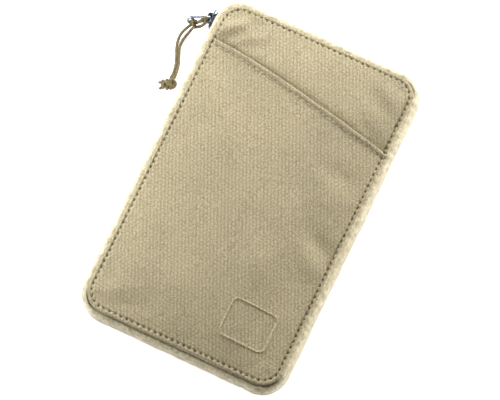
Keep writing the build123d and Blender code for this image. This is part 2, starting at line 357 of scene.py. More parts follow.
def cover_sheet(name, relief, lip_z, thick, upside_down=False):
    """Closed fabric layer over the whole outline: the relief on its outer face, plain on its inner face."""
    insets = [np.arange(0, 9.01, 0.36), np.linspace(10, 24, 13), np.linspace(26, LIP_W / MM, 18)]
    insets = np.concatenate(insets) * MM
    outer = np.stack([ring_points(LIP_W - i, LIP_L - i, max(LIP_R - i, 0.0)) for i in insets])
    outer_z = lip_z + relief(outer[..., 0], outer[..., 1])
    inner_steps = np.array([3, 7, 14, 22, 34, 46, len(insets) - 1])
    inner, edge = outer[inner_steps], outer[:1]
    inner_z = np.minimum(outer_z[inner_steps] - thick, lip_z - thick * 0.9)
    edge_z = np.full(edge.shape[:2], lip_z - thick)
    plan = np.concatenate([inner[::-1], edge, outer])
    z = np.concatenate([inner_z[::-1], edge_z, outer_z])
    if upside_down:
        z = THICK - z
    return clean(surface(name, plan[..., 0], plan[..., 1], z, SHELL))


def surface_z(relief, x, y):
    return relief(np.array([x]), np.array([y]))[0]


# ---- tubes: thread, cord ----------------------------------------------------------------------------
def tube(points, radius, sides, relief=None):
    """(points, faces) of a tube along a centreline, with an even, untwisted frame.
    relief(length, angle) gives its radius as a share of the plain one."""
    line = np.asarray(points, float)
    step = np.gradient(line, axis=0)
    step /= np.linalg.norm(step, axis=1)[:, None]
    side = np.cross(step[0], (0, 0, 1.0))
    if np.linalg.norm(side) < 0.2:
        side = np.cross(step[0], (1.0, 0, 0))
    sides_at = []
    for heading in step:
        side = side - heading * (side @ heading)
        side /= np.linalg.norm(side)
        sides_at.append(side)
    sides_at = np.array(sides_at)
    up_at = np.cross(step, sides_at)
    angle = np.linspace(0, tau, sides, endpoint=False)
    s, a = np.meshgrid(lengths_along(line), angle, indexing="ij")
    reach = radius * (relief(s, a) if relief else np.ones_like(s))
    rings = line[:, None] + sides_at[:, None] * (reach * np.cos(a))[..., None]
    rings = rings + up_at[:, None] * (reach * np.sin(a))[..., None]
    faces = grid_faces(len(line), sides, True)
    faces.append(list(range(sides)))
    faces.append([(len(line) - 1) * sides + k for k in range(sides)][::-1])
    return rings.reshape(-1, 3), faces


def merged(name, tubes, material):
    """One mesh object from several (points, faces)."""
    points, faces, base = [], [], 0
    for body, quads in tubes:
        points.append(body)
        faces.extend([[i + base for i in face] for face in quads])
        base += len(body)
    return clean(mesh_object(name, np.concatenate(points), faces, material))


def spline_points(route, resolution=12):
    """Points along the NURBS spline that has the route as its control points."""
    curve = bpy.data.curves.new("route", "CURVE")
    curve.dimensions = "3D"
    curve.resolution_u = resolution
    spline = curve.splines.new("NURBS")
    spline.points.add(len(route) - 1)
    for point, place in zip(spline.points, route):
        point.co = (*place, 1)
    spline.order_u = 3
    spline.use_endpoint_u = True
    holder = bpy.data.objects.new("route", curve)
    bpy.context.scene.collection.objects.link(holder)
    bpy.context.view_layer.update()
    line = bpy.data.meshes.new_from_object(holder.evaluated_get(bpy.context.evaluated_depsgraph_get()))
    points = np.array([v.co for v in line.vertices])
    bpy.data.objects.remove(holder)
    return points


def evenly(points, step):
    """The same line with points every step."""
    length = lengths_along(points)
    at = np.linspace(0, length[-1], max(3, round(length[-1] / step)))
    return np.stack([np.interp(at, length, points[:, k]) for k in range(3)], -1)


# ---- materials ----------------------------------------------------------------------------------------
class Shader:
    """A principled material and short calls that add nodes to it."""

    def __init__(self, name, roughness=0.8, **settings):
        self.material = bpy.data.materials.new(name)
        self.material.use_nodes = True
        self.tree = self.material.node_tree
        self.bsdf = self.tree.nodes["Principled BSDF"]
        self.bsdf.inputs["Roughness"].default_value = roughness
        for key, value in settings.items():
            self.bsdf.inputs[key.replace("_", " ")].default_value = value

    def node(self, kind, inputs=(), **settings):
        made = self.tree.nodes.new(kind)
        for key, value in settings.items():
            setattr(made, key, value)
        for key, value in dict(inputs).items():
            if hasattr(value, "node"):
                self.tree.links.new(value, made.inputs[key])
            else:
                made.inputs[key].default_value = value
        return made

    def math(self, operation, a, b=0.0, c=0.0):
        return self.node("ShaderNodeMath", {0: a, 1: b, 2: c}, operation=operation).outputs[0]

    def vector(self, operation, a, b):
        return self.node("ShaderNodeVectorMath", {0: a, 1: b}, operation=operation).outputs[0]

    def places(self, turn=0.0, stretch=(1, 1, 1)):
        """Coordinates in millimetres in the piece's own frame, turned about Z."""
        coordinates = self.node("ShaderNodeTexCoord").outputs["Object"]
        scale = [1000 * k for k in stretch]
        turned = self.node("ShaderNodeMapping", {0: coordinates, "Rotation": (0, 0, -turn)})
        return self.vector("MULTIPLY", turned.outputs[0], scale)

    def noise(self, places, scale, detail=2.0, roughness=0.5):
        inputs = {"Vector": places, "Scale": scale, "Detail": detail, "Roughness": roughness}
        return self.node("ShaderNodeTexNoise", inputs).outputs["Fac"]

    def ramp(self, value, stops):
        made = self.node("ShaderNodeValToRGB", {0: value})
        while len(made.color_ramp.elements) < len(stops):
            made.color_ramp.elements.new(0.5)
        for element, (place, colour) in zip(made.color_ramp.elements, stops):
            element.position, element.color = place, (*colour, 1)
        return made.outputs[0]

    def mix(self, share, a, b, blend="MIX"):
        inputs = {0: share, 6: a, 7: b}
        return self.node("ShaderNodeMix", inputs, data_type="RGBA", blend_type=blend).outputs[2]

    def finish(self, colour, height=None, distance=0.1, strength=1.0, roughness=None):
        """Connect colour and bump; distance is the relief in millimetres."""
        self.tree.links.new(colour, self.bsdf.inputs["Base Color"])
        if height is not None:
            inputs = {"Height": height, "Distance": distance * MM, "Strength": strength}
            bump = self.node("ShaderNodeBump", inputs)
            self.tree.links.new(bump.outputs[0], self.bsdf.inputs["Normal"])
        if roughness is not None:
            self.tree.links.new(roughness, self.bsdf.inputs["Roughness"])
        return self.material


def linear(r, g, b):
    """Linear colour from everyday 0-255 values."""
    def one(v):
        v /= 255
        return v / 12.92 if v <= 0.04045 else ((v + 0.055) / 1.055) ** 2.4
    return one(r), one(g), one(b)


def woven_material(name, dark, middle, light, cell=(2.16, 1.38), turn=GRAIN_TURN, relief=0.3):
    """Heavy weave: staggered nubs, yarn tone that varies at random, painted shade in the weave's low points
    and painted highlight on its raised nubs, and slow dyeing variation.
    """
    shader = Shader(name, 0.86, Sheen_Weight=0.25, Sheen_Roughness=0.5, Specular_IOR_Level=0.25)
    places = shader.places(turn)
    wobble = shader.node("ShaderNodeTexNoise", {"Vector": places, "Scale": 0.45, "Detail": 2.0})
    wobble = wobble.outputs["Color"]
    wobble = shader.vector("MULTIPLY", shader.vector("SUBTRACT", wobble, (0.5, 0.5, 0.5)), (1.1, 0.8, 0))
    places_bent = shader.vector("ADD", places, wobble)
    split = shader.node("ShaderNodeSeparateXYZ", {0: places_bent})
    height = shader.math("MULTIPLY", shader.noise(places, 1.3, 3.0, 0.7), 1.5)
    for share, across, along in ((0.055, 1, 1), (0.075, 2, 0), (0.085, 2, 2)):     # nubs, ribs, split yarns
        wave = shader.math("COSINE", shader.math("MULTIPLY", split.outputs[0], pi * across / cell[0]))
        if along:
            other = shader.math("COSINE", shader.math("MULTIPLY", split.outputs[1], pi * along / cell[1]))
            wave = shader.math("MULTIPLY", wave, other)
        height = shader.math("ADD", height, shader.math("MULTIPLY", wave, share))
    height = shader.math("ADD", height, -0.25)
    fibre = shader.noise(places, 5.5, 2.0, 0.6)
    height_fine = shader.math("MULTIPLY_ADD", fibre, 0.15, height)
    # The colour follows the relief: painted shade darkens the weave's low points and painted highlight
    # lightens its raised nubs and split yarns, on top of the yarn's random tone.
    colour = shader.ramp(height, [(0.22, dark), (0.5, middle), (0.82, light)])
    dye = shader.noise(places, 0.035, 3.0)
    tint = shader.ramp(dye, [(0.3, (0.93, 0.93, 0.92)), (0.7, (1.06, 1.05, 1.03))])
    colour = shader.mix(1.0, colour, tint, "MULTIPLY")
    return shader.finish(colour, height_fine, relief)


def tape_material(name, dark, middle, light, grain=1.7, relief=0.5):
    """Soft brushed tape: mottled pile."""
    shader = Shader(name, 0.92, Sheen_Weight=0.5, Sheen_Roughness=0.6, Specular_IOR_Level=0.15)
    places = shader.places()
    pile = shader.noise(places, grain, 4.0, 0.7)
    blotch = shader.noise(places, 0.35, 3.0, 0.6)
    height = shader.math("MULTIPLY_ADD", blotch, 0.6, shader.math("MULTIPLY", pile, 0.55))
    colour = shader.ramp(height, [(0.38, dark), (0.56, middle), (0.76, light)])
    return shader.finish(colour, height, relief)


def lining_material(name, dark, middle, light, turn=0.0, cell=0.8):
    """Fine plain-weave lining."""
    shader = Shader(name, 0.7, Sheen_Weight=0.15)
    places = shader.places(turn)
    split = shader.node("ShaderNodeSeparateXYZ", {0: places})
    warp = shader.math("SINE", shader.math("MULTIPLY", split.outputs[0], 2 * pi / cell))
    weft = shader.math("SINE", shader.math("MULTIPLY", split.outputs[1], 2 * pi / cell))
    checks = shader.math("MULTIPLY_ADD", shader.math("MULTIPLY", warp, weft), 0.3, 0.35)
    slub = shader.noise(shader.places(turn, (0.25, 2.0, 1)), 1.2, 2.0)
    height = shader.math("MULTIPLY_ADD", slub, 0.3, checks)
    colour = shader.ramp(height, [(0.25, dark), (0.5, middle), (0.78, light)])
    return shader.finish(colour, height, 0.06)


def ribbed_material(name, dark, light, pitch=0.9):
    """Grosgrain binding: fine ribs across the strip."""
    shader = Shader(name, roughness=0.75)
    places = shader.places()
    split = shader.node("ShaderNodeSeparateXYZ", {0: places})
    diagonal = shader.math("ADD", split.outputs[0], split.outputs[1])
    ribs = shader.math("SINE", shader.math("MULTIPLY", diagonal, 2 * pi / pitch))
    grain = shader.noise(places, 2.5, 3.0)
    height = shader.math("MULTIPLY_ADD", ribs, 0.25, grain)
    colour = shader.ramp(height, [(0.2, dark), (0.8, light)])
    return shader.finish(colour, height, 0.1)


def foam_material(name):
    """Closed-cell foam: pores and a little yellowing."""
    shader = Shader(name, roughness=0.95)
    places = shader.places()
    cells = shader.node("ShaderNodeTexVoronoi", {"Vector": places, "Scale": 1.4})
    tone = shader.noise(places, 0.05, 2.0)
    colour = shader.ramp(tone, [(0.3, linear(214, 209, 192)), (0.7, linear(232, 229, 217))])
    return shader.finish(colour, cells.outputs["Distance"], 0.15)


def metal_material(name, dark, light, roughness=0.26):
    """Plated die-cast metal: tone drifts, rubbed brighter, with fine scratches."""
    shader = Shader(name, roughness, Metallic=1.0)
    places = shader.places()
    wear = shader.noise(places, 0.55, 4.0, 0.6)
    scratches = shader.noise(shader.places(radians(20), (0.35, 6.0, 2.0)), 2.0, 3.0)
    colour = shader.ramp(wear, [(0.35, dark), (0.7, light)])
    rough = shader.math("MULTIPLY_ADD", wear, 0.22, roughness - 0.1)
    return shader.finish(colour, scratches, 0.01, 0.6, rough)


def cord_material(name, dark, middle, light):
    """Braided polyester: crossing yarns come from the mesh, the fibres from here."""
    shader = Shader(name, 0.72, Sheen_Weight=0.2)
    places = shader.places()
    fibre = shader.noise(places, 4.5, 3.0, 0.7)
    patches = shader.noise(places, 0.8, 2.0)
    height = shader.math("MULTIPLY_ADD", patches, 0.4, shader.math("MULTIPLY", fibre, 0.7))
    colour = shader.ramp(height, [(0.38, dark), (0.56, middle), (0.78, light)])
    return shader.finish(colour, fibre, 0.06)


def coil_material(name):
    """Nylon monofilament."""
    shader = Shader(name, roughness=0.35)
    places = shader.places()
    tone = shader.noise(places, 0.4, 2.0)
    colour = shader.ramp(tone, [(0.3, linear(150, 136, 100)), (0.7, linear(184, 170, 132))])
    return shader.finish(colour, shader.noise(places, 3.0, 2.0), 0.02)


def floor_material():
    shader = Shader("studio_floor", 0.9, Emission_Color=(1, 1, 1, 1), Emission_Strength=0.68)
    places = shader.places()
    tone = shader.noise(places, 0.002, 1.0)
    colour = shader.ramp(tone, [(0.0, (0.90, 0.90, 0.90)), (1.0, (0.92, 0.92, 0.92))])
    return shader.finish(colour)


make_camera()
SHELL = woven_material("shell_fabric", linear(129, 115, 81), linear(172, 160, 129), linear(205, 194, 167))
TAPE = tape_material("zip_tape", linear(124, 110, 74), linear(192, 179, 144), linear(236, 228, 202))
THREAD = cord_material("sewing_thread", linear(140, 126, 90), linear(196, 184, 150), linear(232, 223, 196))
LINING = lining_material("lining", linear(112, 98, 68), linear(150, 136, 102), linear(176, 163, 129))
BINDING = ribbed_material("binding", linear(98, 84, 54), linear(152, 137, 100))
FOAM = foam_material("foam")
METAL = metal_material("gunmetal", (0.07, 0.08, 0.10), (0.25, 0.28, 0.33))
PULLER_METAL = metal_material("puller_plating", (0.24, 0.28, 0.34), (0.55, 0.60, 0.68))
CORD = cord_material("pull_cord", linear(66, 55, 27), linear(112, 98, 62), linear(172, 158, 120))
COIL = coil_material("zip_coil")


# ---- pull cord ------------------------------------------------------------------------------------------
CORD_D = 1.65 * MM
LEFT_ROUTE = [
    (-81.5, 85.0, 5.0), (-84.4, 80.4, 3.5), (-85.6, 75.0, 2.0), (-84.2, 69.0, 1.1),
    (-81.2, 62.8, 1.0), (-78.9, 56.8, 1.1), (-78.3, 49.6, 2.1),
]
RIGHT_ROUTE = [
    (-79.4, 85.3, 4.4), (-81.2, 79.6, 3.0), (-82.6, 74.0, 1.8), (-82.5, 69.7, 1.1),
    (-79.8, 63.5, 1.0), (-77.2, 57.2, 1.1), (-76.6, 49.9, 2.1),
]


def braid(turn_length=2.6 * MM, yarns=8):
    """Relief of a round braid: yarns that spiral both ways and pass over each other."""
    def relief(s, a):
        left = np.cos(yarns / 2 * (a + tau * s / turn_length / 2))
        right = np.cos(yarns / 2 * (a - tau * s / turn_length / 2))
        return 1.02 + 0.15 * np.maximum(left, right)
    return relief


def make_cords():
    knot = make_knot()
    hitch = make_hitch()
    for name, route in (("pull_cord_left", LEFT_ROUTE), ("pull_cord_right", RIGHT_ROUTE)):
        places = [tuple(v * MM for v in point) for point in route]
        line = spline_points(places)
        piece = merged(f"{name}_braid", [tube(evenly(line, 0.16 * MM), CORD_D / 2, 20, braid())], CORD)
        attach(piece, "puller")
        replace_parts(piece, name)


def make_knot():
    """Knot tied in both strands together: three wraps and a loop round a core, and two short cut ends."""
    centre, along, across = Vector((-78.4, 44.2, 3.7)), Vector((0.909, 0.417, 0)), Vector((-0.417, 0.909, 0))

    def at(a, b, c):
        return tuple((centre + along * a + across * b + Vector((0, 0, c))) * MM)

    routes = []
    for shift, tilt, reach in ((-2.9, 0.6, 2.4), (-0.5, 0.3, 3.0), (1.9, -0.2, 2.8)):      # wraps
        turn = np.linspace(0, tau, 13)
        routes.append([at(shift + tilt * sin(t) + 0.3 * t / tau, reach * cos(t), 0.1 + 1.5 * sin(t))
                       for t in turn])
    routes.append([at(0.2, 2.0, 0.3), at(2.2, 2.6, 0.9), at(4.0, 2.2, 0.9), at(5.2, 0.6, 0.5),
                   at(4.7, -1.4, 0.2), at(3.0, -2.5, 0.5), at(0.6, -2.2, 0.3)])
    routes.append([at(-3.4, 2.2, 0.4), at(-1.7, 1.2, 2.2), at(0.4, -0.2, 2.9), at(2.6, -1.6, 2.2),
                   at(3.6, -2.4, 0.6)])
    for side, rise in ((0.9, 0.5), (-0.9, 0.4), (0.0, -0.8)):                                  # core strands
        routes.append([at(-3.2, side * 0.7, rise * 0.5), at(0.5, side, rise),
                       at(4.4, side * 0.7, rise * 0.5)])
    routes.append([at(2.0, 5.6, -1.3), at(1.9, 3.4, -0.2), at(1.0, 0.8, 0.6)])
    routes.append([at(3.7, 5.3, -1.3), at(3.3, 3.2, -0.1), at(2.2, 0.8, 0.4)])
    routes.append([at(-1.5, 1.0, 0.4), at(-3.6, 1.2, 0.0), at(-5.4, 1.6, -1.4)])             # cut ends
    routes.append([at(-1.5, -1.0, 0.2), at(-3.4, -1.5, -0.3), at(-4.9, -2.4, -1.7)])
    tubes = [tube(evenly(spline_points(route), 0.2 * MM), CORD_D / 2, 16, braid()) for route in routes]
    piece = merged("cord_knot_tied", tubes, CORD)
    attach(piece, "puller")
    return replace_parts(piece, "cord_knot")


def rounded(obj, width):
    """Bevel every sharp edge, then smooth."""
    apply_modifier(obj, "BEVEL", width=width, segments=3, angle_limit=radians(30))
    apply_modifier(obj, "SUBSURF", levels=1, render_levels=1)
    obj.data.polygons.foreach_set("use_smooth", [True] * len(obj.data.polygons))
    return obj


def prism(name, outline, start, end, axis):
    """Solid between two planes across the axis, with the outline given in the other two directions."""
    points = []
    for level in (start, end):
        for u, v in outline:
            point = [u, v]
            point.insert(axis, level)
            points.append([c * MM for c in point])
    count = len(outline)
    faces = [[k, (k + 1) % count, (k + 1) % count + count, k + count] for k in range(count)]
    faces += [list(range(count)), list(range(count, 2 * count))]
    return clean(mesh_object(name, points, faces, METAL))


def make_slider():
    """Die-cast slider: a crowned outer plate with shoulders, and a broad bridge over the puller's bar."""
    low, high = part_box("slider_body")
    low, high, mid = low / MM, high / MM, (low.z + high.z) / 2 / MM
    x0, y0, y1, half_z = low.x, low.y, high.y, high.z - mid
    nose, waist = y1 - 3.6, (y0 + y1) / 2 - 1.0
    sides = [(y0, 0.72), (waist, 0.95), (nose, 1.0), (y1, 0.6)]
    outline = [(y, mid - half_z * k) for y, k in sides] + [(y, mid + half_z * k) for y, k in sides[::-1]]
    shoulder = [(y1 - 4.2, mid - 2.2), (y1 - 0.9, mid - 2.9), (y1 - 0.2, mid - 2.0), (y1 - 0.2, mid + 2.0),
                (y1 - 0.9, mid + 2.9), (y1 - 4.2, mid + 2.2)]
    plate = rounded(prism("slider_plate", outline, x0 - 0.3, x0 + 1.15, 0), 0.45 * MM)
    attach(plate, "slider")
    nose_piece = rounded(prism("slider_shoulder", shoulder, x0 - 0.9, x0 + 0.4, 0), 0.5 * MM)
    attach(nose_piece, "slider")

    foot, top = x0 + 0.2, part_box("slider_bridge")[0].x / MM
    b0, b1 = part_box("slider_bridge")[0].y / MM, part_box("slider_bridge")[1].y / MM
    arch = [(foot, b0), (top + 0.9, b0 + 0.5), (top, b0 + 1.6), (top, b1 - 1.6), (top + 0.9, b1 - 0.5),
            (foot, b1), (foot, b1 - 1.3), (top + 1.7, b1 - 1.7), (top + 1.2, b1 - 2.2), (top + 1.2, b0 + 2.2),
            (top + 1.7, b0 + 1.7), (foot, b0 + 1.3)]
    bridge = rounded(prism("slider_bridge_loop", arch, mid - 1.9, mid + 1.9, 2), 0.3 * MM)
    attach(bridge, "slider")
    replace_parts(bridge, "slider_bridge")


PIVOT = Vector((-71.8, 92.2, 10.0)) * MM
PULLER_HEADING = radians(206.2)


def on_puller(reach, side, rise):
    """A place from its reach along the puller, its offset to the lower side and its height, in mm."""
    along = Vector((cos(PULLER_HEADING), sin(PULLER_HEADING), 0))
    across = Vector((-sin(PULLER_HEADING), cos(PULLER_HEADING), 0))
    return PIVOT + (along * reach + across * side + Vector((0, 0, rise))) * MM


def make_puller():
    """Bent frame with a bar through the bridge; its upper rail leans outwards."""
    route = [(0, 0, -2.4), (0, 0, 0), (0, 0, 2.3), (1.0, -0.1, 2.9), (3.0, -0.2, 2.7), (6.0, -0.7, 1.7),
             (10.0, -1.3, 0.3), (12.9, -1.3, -0.7), (14.1, -0.8, -2.0), (14.2, 0.4, -3.8), (13.0, 1.1, -5.1),
             (9.5, 1.0, -4.9), (5.0, 0.6, -3.7), (2.2, 0.2, -3.1), (0.6, 0.0, -2.9), (0, 0, -2.4)]
    line = spline_points([tuple(on_puller(*p)) for p in route])
    piece = merged("puller_frame", [tube(evenly(line, 0.3 * MM), 0.92 * MM, 12)], PULLER_METAL)
    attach(piece, "puller")
    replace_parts(piece, "puller")


def make_hitch():
    """Lark's head: the looped end lies along the puller, and both strands go back round its far bar."""
    routes = [
        # the bight: along one side of the puller, round, and back along the other strand
        [(11.0, 1.5, -4.2), (8.6, 1.7, -3.0), (6.2, 1.2, -1.2), (4.4, 0.2, 1.9), (3.3, -0.1, 3.9),
         (2.6, 0.9, 3.5), (2.9, 2.4, 0.0), (5.2, 3.7, -3.0), (8.2, 4.2, -4.2), (10.6, 4.0, -4.8)],
        # its far end, over both standing strands and round the puller's edge
        [(10.9, -0.9, -4.4), (11.0, -0.7, -1.6), (10.9, 0.9, -0.9), (10.6, 2.9, -1.9), (10.3, 4.1, -3.7),
         (10.2, 3.6, -6.0), (10.2, 1.6, -6.9)],
        # the standing strands, up through the puller
        [(11.9, 2.2, -5.0), (11.9, 1.2, -4.6), (12.0, -0.6, -4.0)],
        [(9.86, 2.8, -5.6), (9.5, 1.2, -5.2), (9.2, -0.9, -4.4)],
    ]
    tubes = []
    for route in routes:
        line = spline_points([tuple(on_puller(*p)) for p in route])
        tubes.append(tube(evenly(line, 0.2 * MM), CORD_D * 0.56, 16, braid()))
    piece = merged("cord_hitch_tied", tubes, CORD)
    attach(piece, "puller")
    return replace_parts(piece, "cord_hitch")


make_cords()
make_studio()


# ---- covers ---------------------------------------------------------------------------------------------
def make_front():
    shell = cover_sheet("front_shell", shell_relief, SHELL_Z, 1.0 * MM)
    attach(shell, "front_cover")
    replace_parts(shell, "front_panel")

    pocket = cover_sheet("slip_pocket_cloth", front_relief, THICK, 0.7 * MM)
    cut_at_mouth(pocket)
    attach(pocket, "front_cover")
    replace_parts(pocket, "slip_pocket")

    hem = make_hem()
    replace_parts(hem, "slip_pocket_hem")
    front_thread = stitches("front_topstitching", front_z, "front_cover")
    hem_thread = hem_stitches()
    badge = make_badge()


def front_z(x, y):
    """Height of whichever layer is outermost."""
    if mouth_distance(x, y) > 0:
        return THICK + surface_z(front_relief, x, y)
    return SHELL_Z + surface_z(shell_relief, x, y)


def make_badge():
    """Blank embossed badge: a raised rim round a plain field, pressed from the pocket cloth."""
    centre, half, corner = (34 * MM, -76 * MM), (15.5 * MM, 13.0 * MM), 4.5 * MM
    across = np.linspace(-half[0] - 0.7 * MM, half[0] + 0.7 * MM, 100)
    along = np.linspace(-half[1] - 0.7 * MM, half[1] + 0.7 * MM, 86)
    v, u = np.meshgrid(along, across, indexing="ij")
    inset = inset_of(u, v, half[0], half[1], corner)
    rim_in, rim_rise = (-1.2, -0.5, 0.0, 0.35, 0.8, 1.3, 1.9), (-1.0, -0.4, 0.1, 0.6, 0.68, 0.2, 0.06)
    rise = np.interp(inset / MM, rim_in, rim_rise)
    x, y = u + centre[0], v + centre[1]
    base = THICK + front_relief(x, y)
    badge = surface("embossed_badge", x, y, base + rise * MM, SHELL, False)
    thicken(badge, 0.3 * MM)
    clean(badge)
    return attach(badge, "front_cover")


def cut_at_mouth(obj):
    """Keep the part below the slanted mouth and close the cut."""
    bm = bmesh.new()
    bm.from_mesh(obj.data)
    geometry = [*bm.verts, *bm.edges, *bm.faces]
    bmesh.ops.bisect_plane(bm, geom=geometry, dist=1e-7, plane_co=(*MOUTH_LEFT, 0),
                           plane_no=(*-MOUTH_DOWN, 0), clear_outer=True)
    bmesh.ops.holes_fill(bm, edges=[e for e in bm.edges if e.is_boundary], sides=0)
    bmesh.ops.recalc_face_normals(bm, faces=bm.faces)
    for vert in bm.verts:
        away = vert.co.xy - Vector(MOUTH_LEFT)
        share, below = away.dot(MOUTH_HEADING) / MOUTH_LENGTH, away.dot(MOUTH_DOWN)
        vert.co.y += float(mouth_bow(share)) * max(0.0, 1 - below / (16 * MM)) ** 2
    bm.to_mesh(obj.data)
    bm.free()


def make_hem():
    """Folded mouth edge: a rounded strip that ends in its own stitched groove."""
    start, heading, down, length = Vector(MOUTH_LEFT), MOUTH_HEADING, MOUTH_DOWN, MOUTH_LENGTH
    along = np.linspace(0.5 * MM, length - 0.5 * MM, 300)
    offsets = np.array([-0.35, -0.42, -0.3, 0.0, 0.4, 1.0, 1.7, 2.3, 2.7, 3.0, 3.3, 3.6, 4.0, 4.5, 5.1,
                        5.6]) * MM
    rises = np.array([-0.5, 0.1, 0.8, 1.15, 1.3, 1.22, 1.0, 0.72, 0.36, 0.0, -0.02, 0.2, 0.26, 0.15, 0.02,
                      -0.12]) * MM
    groove = bell(offsets - HEM_STITCH_IN, 0.5 * MM)
    s, o = np.meshgrid(along, offsets, indexing="ij")
    holes = hole_pattern(s, STITCH_PITCH, 0.6 * MM)
    x = start.x + heading.x * s + down.x * o
    y = start.y + heading.y * s + down.y * o + mouth_bow(s / length)
    puckers = 0.06 * MM * soft_noise(s, o * 4, 5 * MM, 2.2)
    z = THICK + front_relief(x, y) + rises + puckers - (0.15 + 2.1 * holes) * MM * groove
    top = np.stack([x, y, z], -1)
    under = top[:, [0, -1]] - (0, 0, 0.5 * MM)
    section = np.concatenate([top, under[:, ::-1]], 1)
    hem = surface("slip_pocket_folded_hem", section[..., 0], section[..., 1], section[..., 2], SHELL)
    close_ends(hem)
    clean(hem)
    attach(hem, "front_cover")
    return hem


def close_ends(obj):
    bm = bmesh.new()
    bm.from_mesh(obj.data)
    bmesh.ops.holes_fill(bm, edges=[e for e in bm.edges if e.is_boundary], sides=0)
    bm.to_mesh(obj.data)
    bm.free()


def stitch(a, b, rise, radius):
    """One stitch of thread between two needle holes, arched above the cloth."""
    line = []
    for share in np.linspace(0, 1, 9):
        middle = np.array(a) * (1 - share) + np.array(b) * share
        lift = rise * sin(pi * share) ** 0.6 - 0.45 * MM * (abs(2 * share - 1) ** 6)
        line.append(middle + (0, 0, lift))
    return tube(line, radius, 7)


def hem_stitches():
    tubes = []
    for n in range(int(MOUTH_LENGTH / STITCH_PITCH) - 1):
        ends = []
        for side in (0.12, 0.88):
            s = (n + 1 + side) * STITCH_PITCH
            place = Vector(MOUTH_LEFT) + MOUTH_HEADING * s + MOUTH_DOWN * HEM_STITCH_IN
            place.y += float(mouth_bow(s / MOUTH_LENGTH))
            z = THICK + surface_z(front_relief, place.x, place.y) + 0.15 * MM
            ends.append((place.x, place.y, z))
        tubes.append(stitch(*ends, 0.28 * MM, 0.29 * MM))
    piece = merged("hem_topstitching", tubes, THREAD)
    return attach(piece, "front_cover")


def stitches(name, height_at, body, upside_down=False):
    """Lockstitches all round, one between each two needle holes."""
    tubes = []
    for n in range(STITCH_COUNT):
        ends = []
        for side in (0.2, 0.8):
            place, _ = stitch_point((n + side) * REAL_PITCH)
            ends.append((place.x, place.y, height_at(place.x, place.y) + 0.1 * MM))
        tubes.append(stitch(*ends, 0.3 * MM, 0.3 * MM))
    if upside_down:
        tubes = [(body_points * (1, 1, -1) + (0, 0, THICK), faces) for body_points, faces in tubes]
    piece = merged(name, tubes, THREAD)
    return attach(piece, body)


def back_z(x, y):
    return BACK_LIP_Z + surface_z(back_relief, x, y)


def make_back():
    shell = cover_sheet("back_shell", back_relief, BACK_LIP_Z, 0.8 * MM, upside_down=True)
    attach(shell, "back_cover")
    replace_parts(shell, "back_panel")
    stitches("back_topstitching", back_z, "back_cover", True)


make_front()
make_back()


# ---- zip tapes --------------------------------------------------------------------------------------------
def wall_path(step=0.9 * MM):
    """(place, outward normal) along the wall, clockwise from the closed end to the open end."""
    w, l, bend = HALF_W - CORNER_R, HALF_L - CORNER_R, CORNER_R * pi / 2
    start = Vector((-HALF_W, SPINE_Y0))
    legs = [("line", l - SPINE_Y0), ("bend", bend), ("line", 2 * w), ("bend", bend), ("line", 2 * l),
            ("bend", bend), ("line", 2 * w), ("bend", bend), ("line", SPINE_Y0 + l)]
    places, normals, heading, place = [], [], pi / 2, start
    for kind, length in legs:
        count = max(2, round(length / step))
        for k in range(count):
            part = length * k / count
            if kind == "line":
                here, facing = place + Vector((cos(heading), sin(heading))) * part, heading
            else:
                facing = heading - part / CORNER_R
                centre = place + Vector((sin(heading), -cos(heading))) * CORNER_R
                here = centre + Vector((-sin(facing), cos(facing))) * CORNER_R
            places.append(here)
            normals.append(Vector((-sin(facing), cos(facing))))
        if kind == "line":
            place = place + Vector((cos(heading), sin(heading))) * length
        else:
            centre = place + Vector((sin(heading), -cos(heading))) * CORNER_R
            heading -= length / CORNER_R
            place = centre + Vector((-sin(heading), cos(heading))) * CORNER_R
    return np.array(places), np.array(normals)


WALL_PLACES, WALL_NORMALS = wall_path()
ON_LEFT = (WALL_PLACES[:, 0] < -HALF_W + 8 * MM) & (np.arange(len(WALL_PLACES)) < len(WALL_PLACES) / 2)


def wall_profile(parted, tuck):
    """(inset, height) round the upper half of the wall's section: outside from the lip down, then inside.
    tuck is the depth of the gap under the lip's edge, from 0 to 1."""
    reach, top, low = LIP_INSET - tuck * MM, WALL_TOP + (0.45 - 1.35 * tuck) * MM, MID_Z + 0.3 * MM
    rise = top - low
    outside = [(LIP_INSET + 2.2 * MM, WALL_TOP - (0.4 + 1.5 * tuck) * MM),
               (LIP_INSET + 0.6 * MM, WALL_TOP - (0.1 + 2.2 * tuck) * MM),
               (LIP_INSET + (0.35 - 0.5 * tuck) * MM, WALL_TOP + (0.3 - 2.5 * tuck) * MM),
               (LIP_INSET + (0.2 - 0.8 * tuck) * MM, WALL_TOP + (0.4 - 1.9 * tuck) * MM)]
    for t in np.linspace(pi / 2, 0, 15):
        outside.append((reach * (1 - cos(t) ** 0.75), low + rise * sin(t) ** 0.85))
    if parted:
        outside += [(0.25 * MM, MID_Z + 0.12 * MM), (0.6 * MM, MID_Z + 0.16 * MM)]
    inside = []
    inner_rise = rise - (1.3 + 1.1 * tuck) * MM
    for t in np.linspace(0, pi / 2, 9):
        inside.append((reach * (1 - cos(t) ** 0.75) + 0.8 * MM, low + inner_rise * sin(t) ** 0.85))
    inside.append((LIP_INSET + 2.2 * MM, WALL_TOP - (1.2 + 1.8 * tuck) * MM))
    return np.array(outside + inside)


def roll_shares(parted):
    """How far each point of the section moves when the tape rolls over the covers' edge."""
    inside = 10
    outside = len(wall_profile(parted, 0.0)) - inside
    shares = np.zeros(outside + inside)
    shares[:4] = 0.0, 0.35, 0.8, 0.95
    shares[4:19] = np.sin(np.linspace(pi / 2, 0, 15)) ** 0.85
    return shares


ROLL_SHARES = {parted: roll_shares(parted) for parted in (False, True)}


